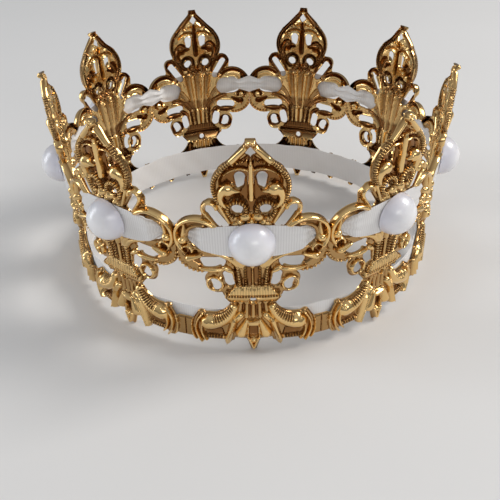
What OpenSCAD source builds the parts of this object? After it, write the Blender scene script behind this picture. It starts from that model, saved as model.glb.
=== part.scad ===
// Gilt filigree crown: nine pierced and embossed brass plates in a ring,
// a white ribbon woven through their wings, a half pearl on each plate
// and a second ribbon lining the base. Millimetres, +Z up, front at -Y.

/* [Plates] */
// Height of a plate from the pendant's foot to the knob
plate_h = 66; // [60:1:76]
// Thickness of the brass sheet
sheet_t = 0.6; // [0.4:0.1:1]
// Height of the embossing above the sheet
relief_h = 0.9; // [0.5:0.1:1.4]
// Lean of the plates above the base band, in degrees
lean = 4.8; // [0:0.2:8]

/* [Pearls] */
// Diameter of a half pearl
pearl_d = 12; // [9:0.5:14]
// Height of a half pearl from its flat back
pearl_h = 6; // [4.6:0.2:6.4]

/* [Ribbons] */
// Width of both ribbons
ribbon_w = 10; // [8:0.5:11]
// Thickness of both ribbons
ribbon_t = 0.5; // [0.3:0.1:0.7]
// Gap between the lining ribbon and the plates
lining_gap = 0.3; // [0.1:0.1:0.5]

/* [Hidden] */
$fn = 96;
plates = 9;
pitch = 360 / plates;
// The ornament is drawn on a plate 66 high and scaled to the height asked for
k = plate_h / 66;
// Inner radius of the base band
base_r = k * 55.6;
// Height at which the plates begin to lean
bend_z = k * 14;
// Height of the pearls, the ribbon's middle and the wings' openings
pearl_z = k * 37.5;
// Height of the embossing under the ribbon
seat_relief = 0.5 * relief_h;
// Height of the lining ribbon's lower edge
lining_z = k * 3;
// Angles from a plate's axis between which the ribbon passes through the wing,
// and the angle at which its lens shape would close
front_a = 12.3;
behind_a = 16.2;
lens_a = 17;
// Distance of the ribbon's inner face from the plates' inner face, in front and behind
ribbon_front = sheet_t + seat_relief + 0.1;
ribbon_behind = -0.25 - ribbon_t;
// Half heights of the woven ribbon at the pearl, behind the wing's opening and at the joint
wide_half = min(ribbon_w / 2, 5.2 * k);
narrow_half = 1.9 * k;
joint_half = 3.2 * k;
// Radius of a pearl's dome, and the distance of its flat back from the crown's axis
dome_r = (pearl_d * pearl_d / 4 + pearl_h * pearl_h) / (2 * pearl_h);
seat_r = base_r + (pearl_z - bend_z) * tan(lean) + ribbon_front + ribbon_t + 0.15;
// An odd number of plates reaches further to the front than to the back,
// so the axis stands this far behind the middle of the whole
axis_y = (seat_r + cos(lean) * (pearl_h - dome_r)) * (1 - cos(pitch / 2)) / 2;
brass = [0.83, 0.62, 0.30];
white = [0.95, 0.94, 0.93];

// Inner radius of the plates at height z
function inner_r(z) = base_r + max(0, z - bend_z) * tan(lean);

// How much wider than its band a round end is, so that it crosses the band's edges
end_swell = 1.08;
// Which side of a plate is drawn: 1 for the right, -1 for the left
$side = 1;

module both() {
    let ($side = 1) children();
    let ($side = -1) children();
}

// An outline, given anticlockwise for the right side of a plate
module patch(points) {
    last = len(points) - 1;
    polygon($side > 0 ? points : [for (i = [last : -1 : 0]) [-points[i][0], points[i][1]]]);
}

module disc(x, y, r) {
    translate([$side * x, y]) circle(r);
}

// A slot with round ends from one point to another
module slot(x0, y0, x1, y1, w) {
    bar(x0, y0, x1, y1, w);
    disc(x0, y0, end_swell * w / 2);
    disc(x1, y1, end_swell * w / 2);
}

// A square-ended bar from one point to another
module bar(x0, y0, x1, y1, w) {
    translate([$side * x0, y0]) rotate(atan2(y1 - y0, $side * (x1 - x0)))
        translate([0, -w / 2]) square([norm([x1 - x0, y1 - y0]), w]);
}

// A square-ended band along an arc, given anticlockwise for the right side of a plate
module arc_band(x, y, r, w, a0, a1) {
    from = $side > 0 ? a0 : 180 - a1;
    step = (a1 - a0) / 6;
    translate([$side * x, y])
        intersection() {
            difference() {
                circle(r + w / 2);
                circle(r - w / 2);
            }
            polygon(concat(
                [[0, 0]],
                [for (i = [0 : 6]) (2 * r + w) * [cos(from + i * step), sin(from + i * step)]]
            ));
        }
}

// A crescent: a disc less a second disc
module crescent(x, y, r, x2, y2, r2) {
    difference() {
        disc(x, y, r);
        disc(x2, y2, r2);
    }
}

// A leaf from one point to another: where two equal discs overlap
module leaf(x0, y0, x1, y1, w) {
    length = norm([x1 - x0, y1 - y0]);
    r = (length * length + w * w) / (4 * w);
    translate([$side * (x0 + x1) / 2, (y0 + y1) / 2]) rotate(atan2(y1 - y0, $side * (x1 - x0)))
        intersection() {
            translate([0, r - w / 2]) circle(r);
            translate([0, w / 2 - r]) circle(r);
        }
}

module silhouette() {
    translate([-1.3, 64]) square([2.6, 2]);
    patch([[-0.8, 0], [0.8, 0], [1.9, 3.4], [1.6, 5], [-1.6, 5], [-1.9, 3.4]]);
    both() {
        // Finial and neck
        disc(2.4, 53, 7.5);
        patch([[-1, 38], [5, 38], [5.2, 42.4], [7.7, 47.7], [7.7, 58.3], [1.2, 65], [-1, 65]]);
        // Ear
        disc(10.3, 47, 2.3);
        patch([[5, 44], [6, 40], [12.4, 43.5], [12.6, 47], [10.3, 49.3], [7, 49.4]]);
        // Wing
        disc(13.6, 37.5, 6.7);
        disc(14, 32.4, 6.2);
        patch([[-1, 24.4], [4.6, 24.4], [8.4, 26.6], [14, 27.2], [14, 41], [8.5, 42.2], [-1, 44]]);
        // Waist, crossbar and cup
        disc(9.8, 23.1, 2.9);
        patch([[-1, 20.6], [6, 20.4], [9, 20.3], [12.2, 24.6], [11.6, 27], [6, 28], [-1, 25]]);
        patch([[-1, 12], [4.9, 12], [4.9, 16.2], [6.3, 16.8], [8.1, 19.1], [8.1, 20.7], [-1, 20.7]]);
        // Horn, collar and base band
        difference() {
            union() {
                disc(10.6, 9.2, 3.7);
                patch([[4.4, 16.6], [4.4, 12.6], [8.1, 6.5], [11.5, 12.5], [11.5, 16.6]]);
            }
            disc(12.4, 21.5, 8.7);
        }
        patch([[5.5, 3.1], [24, 2.9], [24, 9.3], [5.5, 9.3]]);
        arc_band(9, 7, 7.0, 2.4, -38, 42);
        // Hanging leaves
        patch([
            [-1, 3.9], [1.7, 3.9], [5.4, 4.3], [6.6, 2.3], [7.8, 2.1],
            [8.3, 5], [8, 7.5], [5, 12.6], [-1, 12.4]
        ]);
    }
}

module piercings() {
    patch([[-1.1, 62.4], [0, 61.2], [1.1, 62.4], [0, 63.8]]);
    disc(0, 17.8, 0.9);
    both() {
        slot(2.65, 54.3, 2.65, 55.9, 2.4);
        disc(3.5, 46.9, 1.35);
        slot(10.3, 46.7, 6.9, 41.8, 2.2);
        // The opening that the ribbon passes through
        slot(10.4, 37.3, 13.4, 37.3, 6);
        slot(8.3, 30.3, 12.6, 29.9, 2.6);
        slot(10.1, 23.8, 9.6, 22.4, 2.4);
        slot(6.7, 26.1, 5.7, 23.3, 1.9);
    }
}

module embossing() {
    // Knob, stem, palmette, crossbar, centre leaf and pendant
    translate([-1.05, 64.2]) square([2.1, 1.6]);
    translate([-0.8, 49.3]) square([1.6, 10.4]);
    disc(0, 44.3, 1.4);
    translate([-4.4, 20.75]) square([8.8, 1.9]);
    translate([-7.9, 19.2]) square([15.8, 1.3]);
    leaf(0, 4.9, 0, 11, 2.6);
    patch([[0, 0.9], [1.5, 3.4], [1.3, 4.6], [-1.3, 4.6], [-1.5, 3.4]]);
    both() {
        // Finial: rim, petal, scroll and neck
        arc_band(2.4, 53, 6.7, 1.3, -44, 44);
        bar(7.2, 57.7, 1.3, 63.5, 1.2);
        crescent(5.3, 50.4, 3.1, 4.8, 49.2, 2.9);
        arc_band(3.5, 46.9, 2.1, 1.1, -50, 200);
        bar(7.4, 47, 5.5, 43.4, 0.9);
        // Ear and wing
        arc_band(10.3, 47, 1.75, 0.7, -40, 150);
        arc_band(13.6, 37.5, 5.75, 1.5, -28, 124);
        arc_band(16.6, 32.2, 2.0, 1.1, -190, 60);
        arc_band(14, 32.4, 5.55, 0.9, -100, -8);
        bar(8.2, 27.6, 12.6, 27.2, 1);
        // Waist and neck reeds
        bar(2.9, 23.2, 4.3, 29.2, 1.1);
        bar(1.1, 23.2, 1.4, 29.4, 1);
        bar(1.2, 12.6, 1.2, 16, 1);
        bar(3.2, 12.6, 3.4, 16, 1);
        // Horn, collar rings and leaves
        difference() {
            union() {
                disc(10.6, 9.2, 3.3);
                patch([[4.8, 16], [4.8, 13.2], [8.4, 7.2], [11.2, 12.2], [11.2, 16]]);
            }
            disc(12.4, 21.5, 9.1);
        }
        for (r = [6.3, 7.8])
            arc_band(9, 7, r, 0.6, -34, 36);
        leaf(3.4, 12, 7.3, 3, 2.2);
        leaf(2.3, 10.6, 4.6, 5.4, 1.5);
    }
}

// The embossing that lies under the ribbon, kept lower so that the ribbon lies flat
module flutes() {
    translate([-1.4, 30]) square([2.8, 11.6]);
    both() {
        arc_band(11.6, 24.6, 9.1, 1.2, 104, 172);
        arc_band(13.2, 25.4, 11.3, 1.2, 123, 168);
        arc_band(16, 26.5, 13.2, 1.2, 136, 162);
    }
}

// One plate's span of a ring, between two distances from the plates' inner face
module span(near, far) {
    top = plate_h + 1;
    rotate([0, 0, -90 - pitch / 2]) rotate_extrude(angle = pitch)
        polygon([
            [inner_r(0) + near, -1],
            [inner_r(0) + far, -1],
            [inner_r(0) + far, bend_z],
            [inner_r(top) + far, top],
            [inner_r(top) + near, top],
            [inner_r(0) + near, bend_z]
        ]);
}

// A flat drawing stood up at the front and pushed through the ring
module stood_up() {
    rotate([90, 0, 0]) translate([0, 0, 0.6 * base_r]) linear_extrude(base_r) scale(k) children();
}

// A ball set half into the sheet's outer face
module ball(x, y, r) {
    z = k * y;
    out = inner_r(z) + sheet_t;
    rotate([0, 0, asin($side * k * x / out)]) translate([0, -out, z]) rotate([90, 0, 0]) sphere(k * r);
}

module plate() {
    intersection() {
        span(0, sheet_t);
        stood_up() difference() {
            silhouette();
            piercings();
        }
    }
    intersection() {
        span(sheet_t / 2, sheet_t + relief_h);
        stood_up() embossing();
    }
    intersection() {
        span(sheet_t / 2, sheet_t + seat_relief);
        stood_up() flutes();
    }
    intersection() {
        span(sheet_t / 2, sheet_t + 2 * k);
        both() ball(17.75, 36.4, 1.4);
    }
}

module stamped_plate(i) {
    color(brass) translate([0, axis_y, 0]) rotate([0, 0, pitch * (i - 1)]) plate();
}

// Half pearl i, on the ribbon in the middle of plate i
module half_pearl(i) {
    color(white) translate([0, axis_y, 0]) rotate([0, 0, pitch * (i - 1)])
        translate([0, -seat_r, pearl_z]) rotate([90 + lean, 0, 0])
            intersection() {
                translate([0, 0, pearl_h - dome_r]) sphere(dome_r);
                translate([0, 0, pearl_h]) cube([2 * pearl_d, 2 * pearl_d, 2 * pearl_h], center = true);
            }
}

// How far the ribbon has passed through the plate at an angle from the plate's axis:
// 0 in front of it, 1 behind it
function through(a) =
    let (t = (abs(a) - front_a) / (behind_a - front_a))
    (1 - cos(180 * max(0, min(1, t)))) / 2;

// Distance of the ribbon's inner face from the plates' inner face
function ribbon_out(a) = ribbon_front + (ribbon_behind - ribbon_front) * through(a);

// Half height of the ribbon, drawn together where it passes through a wing
function ribbon_half(a) =
    abs(a) <= behind_a
        ? max(narrow_half, wide_half * sqrt(1 - pow(a / lens_a, 2)))
        : narrow_half + (joint_half - narrow_half) * (abs(a) - behind_a) / (pitch / 2 - behind_a);

// The four corners of the ribbon's section at an angle from plate 1's axis
function ribbon_section(angle) =
    let (
        a = angle - pitch * round(angle / pitch),
        low = pearl_z - ribbon_half(a),
        high = pearl_z + ribbon_half(a),
        out = ribbon_out(a),
        dir = [sin(angle), -cos(angle)]
    )
    [for (c = [[low, 0], [low, ribbon_t], [high, ribbon_t], [high, 0]])
        [(inner_r(c[0]) + out + c[1]) * dir[0], (inner_r(c[0]) + out + c[1]) * dir[1], c[0]]];

module woven_ribbon() {
    steps = 24 * plates;
    points = [for (i = [0 : steps - 1]) each ribbon_section(360 * i / steps)];
    faces = [for (i = [0 : steps - 1]) for (j = [0 : 3])
        let (n = (i + 1) % steps, m = (j + 1) % 4)
        [4 * i + j, 4 * i + m, 4 * n + m, 4 * n + j]];
    color(white) translate([0, axis_y, 0]) polyhedron(points, faces, convexity = 10);
}

module lining_ribbon() {
    color(white) translate([0, axis_y, lining_z])
        difference() {
            cylinder(h = ribbon_w, r = base_r - lining_gap);
            translate([0, 0, -1]) cylinder(h = ribbon_w + 2, r = base_r - lining_gap - ribbon_t);
        }
}

for (i = [1 : plates]) stamped_plate(i);
for (i = [1 : plates]) half_pearl(i);
woven_ribbon();
lining_ribbon();
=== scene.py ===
"""Looks of a gilt filigree crown: stamped plates, woven and lining ribbons and half pearls."""

import logging
import math
from dataclasses import dataclass
from enum import Enum

import bpy
import numpy as np
from mathutils import Matrix, Vector


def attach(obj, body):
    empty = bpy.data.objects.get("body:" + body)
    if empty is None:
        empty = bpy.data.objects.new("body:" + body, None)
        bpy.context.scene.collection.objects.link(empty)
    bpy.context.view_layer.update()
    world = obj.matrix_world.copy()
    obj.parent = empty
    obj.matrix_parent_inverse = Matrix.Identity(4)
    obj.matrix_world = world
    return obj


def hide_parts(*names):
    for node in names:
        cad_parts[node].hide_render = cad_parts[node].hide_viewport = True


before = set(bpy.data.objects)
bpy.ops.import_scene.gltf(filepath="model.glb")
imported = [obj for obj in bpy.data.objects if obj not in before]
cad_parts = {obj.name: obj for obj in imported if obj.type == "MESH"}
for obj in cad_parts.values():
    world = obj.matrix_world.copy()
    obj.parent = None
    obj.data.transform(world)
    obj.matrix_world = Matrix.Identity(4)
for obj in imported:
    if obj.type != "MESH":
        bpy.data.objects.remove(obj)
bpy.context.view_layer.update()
PLATES = sum(name.startswith("plate_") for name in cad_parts)
LOG = logging.getLogger("crown")
MM = 0.001

# How strokes of the die narrow and are rounded.
TAPER_ENDS = (0.02, 0.98)
TAPER_POWER = 0.65
LEAST_HALF_WIDTH = 1e-3
SLIM_POWER = 0.7
ROUND_POWER = 0.75
# Widths over which one-sided ribs rise and end, and a bead's height as a share of its radius.
RIB_RISE = 0.6
RIB_STOP = 0.4
BEAD_RISE = 1.5


def deselect() -> None:
    """Leaves object mode's selection empty."""
    if bpy.context.object and bpy.context.object.mode != "OBJECT":
        bpy.ops.object.mode_set(mode="OBJECT")
    bpy.ops.object.select_all(action="DESELECT")


def activate(obj: bpy.types.Object) -> None:
    """Selects one object alone and makes it active.

    Args:
        obj: the object.
    """
    deselect()
    obj.select_set(True)
    bpy.context.view_layer.objects.active = obj


def get_points(mesh: bpy.types.Mesh) -> np.ndarray:
    """Reads a mesh's vertices.

    Args:
        mesh: the mesh.

    Returns:
        Rows of x, y and z.
    """
    flat = np.empty(len(mesh.vertices) * 3)
    mesh.vertices.foreach_get("co", flat)
    return flat.reshape(-1, 3)


def set_points(mesh: bpy.types.Mesh, points: np.ndarray) -> None:
    """Moves a mesh's vertices to the rows given."""
    mesh.vertices.foreach_set("co", np.ascontiguousarray(points, dtype=np.float64).ravel())
    mesh.update()


def mark(mesh: bpy.types.Mesh, name: str, values: np.ndarray) -> None:
    """Keeps a number for each vertex, for the materials to read."""
    layer = mesh.attributes.new(name, "FLOAT", "POINT")
    layer.data.foreach_set("value", np.ascontiguousarray(values, dtype=np.float32))


def apply_modifier(obj: bpy.types.Object, kind: str, **settings: object) -> None:
    """Adds a modifier with its settings and applies it.

    Args:
        obj: the object that is changed.
        kind: the modifier's type.
        settings: the modifier's attributes.
    """
    activate(obj)
    modifier = obj.modifiers.new(kind.lower(), kind)
    for name, value in settings.items():
        setattr(modifier, name, value)
    bpy.ops.object.modifier_apply(modifier=modifier.name)


def smooth(obj: bpy.types.Object, sharp: float) -> None:
    """Shades a piece smooth, apart from edges sharper than an angle in degrees."""
    activate(obj)
    bpy.ops.object.shade_smooth_by_angle(angle=math.radians(sharp))


def add_copy(master: bpy.types.Object, name: str, points: np.ndarray, sharp: float) -> bpy.types.Object:
    """Adds a copy of a piece, with a mesh of its own.

    Args:
        master: the piece.
        name: the copy's name.
        points: where the copy's vertices are.
        sharp: angle in degrees past which its edges stay sharp.

    Returns:
        The copy.
    """
    obj = master.copy()
    obj.data = master.data.copy()
    obj.name = name
    bpy.context.collection.objects.link(obj)
    set_points(obj.data, points)
    smooth(obj, sharp)
    return obj


def dress(obj: bpy.types.Object, material: bpy.types.Material, node: str) -> None:
    """Gives a piece its material and its place in the frame.

    Args:
        obj: the piece.
        material: what it is dressed in.
        node: the CAD node that it stands for.
    """
    obj.data.materials.clear()
    obj.data.materials.append(material)
    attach(obj, "root")
    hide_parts(node)
    LOG.info("%s: %d vertices", obj.name, len(obj.data.vertices))


@dataclass(frozen=True)
class Ring:
    """The ring that the plates stand in, in millimetres, as the CAD has it."""

    plates: int = PLATES
    base_r: float = 55.6
    bend_z: float = 14.0
    lean: float = 4.8
    sheet_t: float = 0.6
    axis_y: float = 1.790

    @property
    def pitch(self) -> float:
        """Angle between two plates, in degrees."""
        return 360.0 / self.plates

    def nodes(self, piece: str) -> list[str]:
        """Names of the CAD nodes of a piece that stands once at each plate."""
        return [f"{piece}_{i + 1}" for i in range(self.plates)]

    def inner_r(self, z: np.ndarray) -> np.ndarray:
        """Inner radius of the plates at a height."""
        return self.base_r + np.maximum(0.0, z - self.bend_z) * math.tan(math.radians(self.lean))

    def half_plate(self, up: np.ndarray) -> np.ndarray:
        """Half width of a plate at a height, where it meets its neighbour."""
        return (self.inner_r(up) + self.sheet_t) * math.sin(math.radians(self.pitch / 2))

    def at(self, angle: np.ndarray, radius: np.ndarray, z: np.ndarray) -> np.ndarray:
        """Places points on the ring.

        Args:
            angle: angles off the front, in degrees.
            radius: distances from the ring's axis, in millimetres.
            z: heights, in millimetres.

        Returns:
            Rows of x, y and z in metres.
        """
        turn = np.radians(angle)
        rows = [radius * np.sin(turn), self.axis_y - radius * np.cos(turn), z + 0 * turn]
        return np.stack(np.broadcast_arrays(*rows), axis=-1) * MM

    def wrap(self, flat: np.ndarray, plate: int) -> np.ndarray:
        """Bends a flat plate's points onto the ring.

        Args:
            flat: rows of distance across, height and relief above the sheet's outer face.
            plate: the plate's place in the ring, from 0 at the front.

        Returns:
            Rows of x, y and z in metres.
        """
        across, up, relief = flat.T
        outer = self.inner_r(up) + self.sheet_t
        angle = np.degrees(np.arcsin(np.clip(across / outer, -1, 1))) + self.pitch * plate
        return self.at(angle, outer + relief, up)


class Taper(Enum):
    """How a stroke's width changes along it."""

    EVEN = "even"
    ENDS = "ends"


def spread(share: np.ndarray, w0: float, w1: float, taper: Taper) -> np.ndarray:
    """Works out a stroke's half width along it.

    Args:
        share: shares of the stroke's length.
        w0, w1: its first and last width.
        taper: how the width changes.

    Returns:
        The half widths.
    """
    width = w0 + (w1 - w0) * share
    if taper is Taper.ENDS:
        width = width * np.sin(np.pi * np.clip(share, *TAPER_ENDS)) ** TAPER_POWER
    return np.maximum(width / 2, LEAST_HALF_WIDTH)


@dataclass(frozen=True)
class Line:
    """A straight stroke of the die, with round ends."""

    x0: float
    y0: float
    x1: float
    y1: float
    w0: float
    w1: float
    taper: Taper = Taper.EVEN

    def trace(self, across: np.ndarray, up: np.ndarray) -> tuple[np.ndarray, ...]:
        """Measures points against the stroke.

        Args:
            across, up: the points.

        Returns:
            Distances from the middle line, half widths there and lengths run.
        """
        dx, dy = self.x1 - self.x0, self.y1 - self.y0
        length = math.hypot(dx, dy)
        share = np.clip(((across - self.x0) * dx + (up - self.y0) * dy) / length**2, 0, 1)
        away = np.hypot(across - self.x0 - share * dx, up - self.y0 - share * dy)
        return away, spread(share, self.w0, self.w1, self.taper), share * length


@dataclass(frozen=True)
class Arc:
    """A stroke of the die along an arc, from angle a0 anticlockwise to a1, with round ends."""

    x: float
    y: float
    r: float
    a0: float
    a1: float
    w0: float
    w1: float
    taper: Taper = Taper.EVEN

    def trace(self, across: np.ndarray, up: np.ndarray) -> tuple[np.ndarray, ...]:
        """Measures points against the stroke.

        Args:
            across, up: the points.

        Returns:
            Distances from the middle line, half widths there and lengths run.
        """
        span = self.a1 - self.a0
        angle = (np.degrees(np.arctan2(up - self.y, across - self.x)) - self.a0) % 360
        nearer_start = angle > (360 - span) / 2 + span
        share = np.clip(np.where(nearer_start, angle - 360, angle) / span, 0, 1)
        turn = np.radians(self.a0 + share * span)
        away = np.hypot(across - self.x - self.r * np.cos(turn), up - self.y - self.r * np.sin(turn))
        return away, spread(share, self.w0, self.w1, self.taper), share * math.radians(span) * self.r


@dataclass(frozen=True)
class Disc:
    """A round of the die."""

    x: float
    y: float
    r: float

    def trace(self, across: np.ndarray, up: np.ndarray) -> tuple[np.ndarray, ...]:
        """Distances from the middle, radii and runs of nought, at points."""
        away = np.hypot(across - self.x, up - self.y)
        return away, np.full_like(away, self.r), np.zeros_like(away)


@dataclass(frozen=True)
class Patch:
    """An outline of the die with straight sides and rounded corners."""

    points: tuple
    corner: float = 0.0

    def inside(self, across: np.ndarray, up: np.ndarray) -> np.ndarray:
        """Measures points against the outline.

        Args:
            across, up: the points.

        Returns:
            Depths inside the outline, negative outside.
        """
        near = np.full(np.shape(across), np.inf)
        odd = np.zeros(np.shape(across), dtype=bool)
        for (x0, y0), (x1, y1) in zip(self.points, self.points[1:] + self.points[:1], strict=True):
            dx, dy = x1 - x0, y1 - y0
            share = np.clip(((across - x0) * dx + (up - y0) * dy) / (dx * dx + dy * dy), 0, 1)
            near = np.minimum(near, np.hypot(across - x0 - share * dx, up - y0 - share * dy))
            if y0 != y1:
                odd ^= ((y0 > up) != (y1 > up)) & (across < dx * (up - y0) / dy + x0)
        return np.where(odd, near, -near) + self.corner


Shape = Line | Arc | Disc | Patch


def depth(shape: Shape, across: np.ndarray, up: np.ndarray) -> np.ndarray:
    """Measures points against any shape of the die.

    Args:
        shape: the shape.
        across, up: the points.

    Returns:
        Depths inside the shape, negative outside.
    """
    if isinstance(shape, Patch):
        return shape.inside(across, up)
    away, half, _ = shape.trace(across, up)
    return half - away


def merge(first: np.ndarray, second: np.ndarray, soft: float) -> np.ndarray:
    """Joins two depths with a fillet of about the size given."""
    near = np.maximum(soft - np.abs(first - second), 0) / soft
    return np.maximum(first, second) + near * near * soft / 4


@dataclass(frozen=True)
class Raise:
    """A raised part of the die.

    Attributes:
        shape: what is raised.
        height: how high, in millimetres.
        edge: width of the rounded edge of a patch.
        ribs: pitch of the gadroon ribs across a part, or 0 for a smooth one.
        rib_depth: depth of the ribs.
        rib_share: how strongly the ribs are marked, from 0 to 1.
        inner_ribs: whether the ribs are only on the side of an arc that its middle is on.
        rib_end: length of an arc after which such ribs end.
        fade: heights on the plate between which the relief grows from nought, or None.
    """

    shape: Shape
    height: float
    edge: float = 0.6
    ribs: float = 0.0
    rib_depth: float = 0.25
    rib_share: float = 1.0
    inner_ribs: bool = False
    rib_end: float = 0.0
    fade: tuple | None = None

    def relief(self, across: np.ndarray, up: np.ndarray) -> np.ndarray:
        """Works out how high the part is.

        Args:
            across, up: the points.

        Returns:
            Heights, nought outside the part.
        """
        if isinstance(self.shape, Patch):
            share = 1 - np.clip(self.shape.inside(across, up) / self.edge, 0, 1)
            slim = 1.0
        else:
            away, half, _ = self.shape.trace(across, up)
            share = np.clip(away / half, 0, 1)
            slim = (half / np.max(half)) ** SLIM_POWER
        rounded = (1 - share * share) ** ROUND_POWER
        height = self.height * rounded * slim
        if self.ribs:
            ribbed, count = self.ribbing(across, up)
            groove = 0.5 - 0.5 * np.cos(2 * np.pi * count)
            height = height - self.rib_depth * ribbed * groove * rounded
        if self.fade:
            start, full = self.fade
            height = height * np.clip((up - start) / (full - start), 0, 1)
        return height

    def ribbing(self, across: np.ndarray, up: np.ndarray) -> tuple[np.ndarray, ...]:
        """Works out the part's ribs.

        Args:
            across, up: the points.

        Returns:
            How far the part is ribbed at the points, and the count of ribs run there.
        """
        ribbed = np.full(np.shape(across), self.rib_share)
        if isinstance(self.shape, Patch):
            return ribbed, across / self.ribs
        _, _, run = self.shape.trace(across, up)
        if self.inner_ribs:
            inward = self.shape.r - np.hypot(across - self.shape.x, up - self.shape.y)
            ended = np.clip((self.rib_end - run) / RIB_STOP, 0, 1)
            ribbed = ribbed * np.clip(inward / RIB_RISE, 0, 1) * ended
        return ribbed, run / self.ribs


def beads(row: Arc, pitch: float) -> dict[str, Raise]:
    """Sets a row of beads along an arc, as wide as its stroke.

    Args:
        row: the arc.
        pitch: distance between two beads.

    Returns:
        The raised parts by name.
    """
    count = max(2, round(math.radians(row.a1 - row.a0) * row.r / pitch))
    size = row.w0 / 2
    made = {}
    for i in range(count):
        turn = math.radians(row.a0 + (row.a1 - row.a0) * i / (count - 1))
        middle = (row.x + row.r * math.cos(turn), row.y + row.r * math.sin(turn))
        made[f"bead {i + 1}"] = Raise(Disc(*middle, size), BEAD_RISE * size)
    return made


def highest(parts: list[Raise], across: np.ndarray, up: np.ndarray) -> np.ndarray:
    """Works out how high the highest of some raised parts is.

    Args:
        parts: the parts.
        across, up: the points.

    Returns:
        Heights, nought outside all parts.
    """
    height = np.zeros(np.shape(across))
    for part in parts:
        height = np.maximum(height, part.relief(across, up))
    return height


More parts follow.
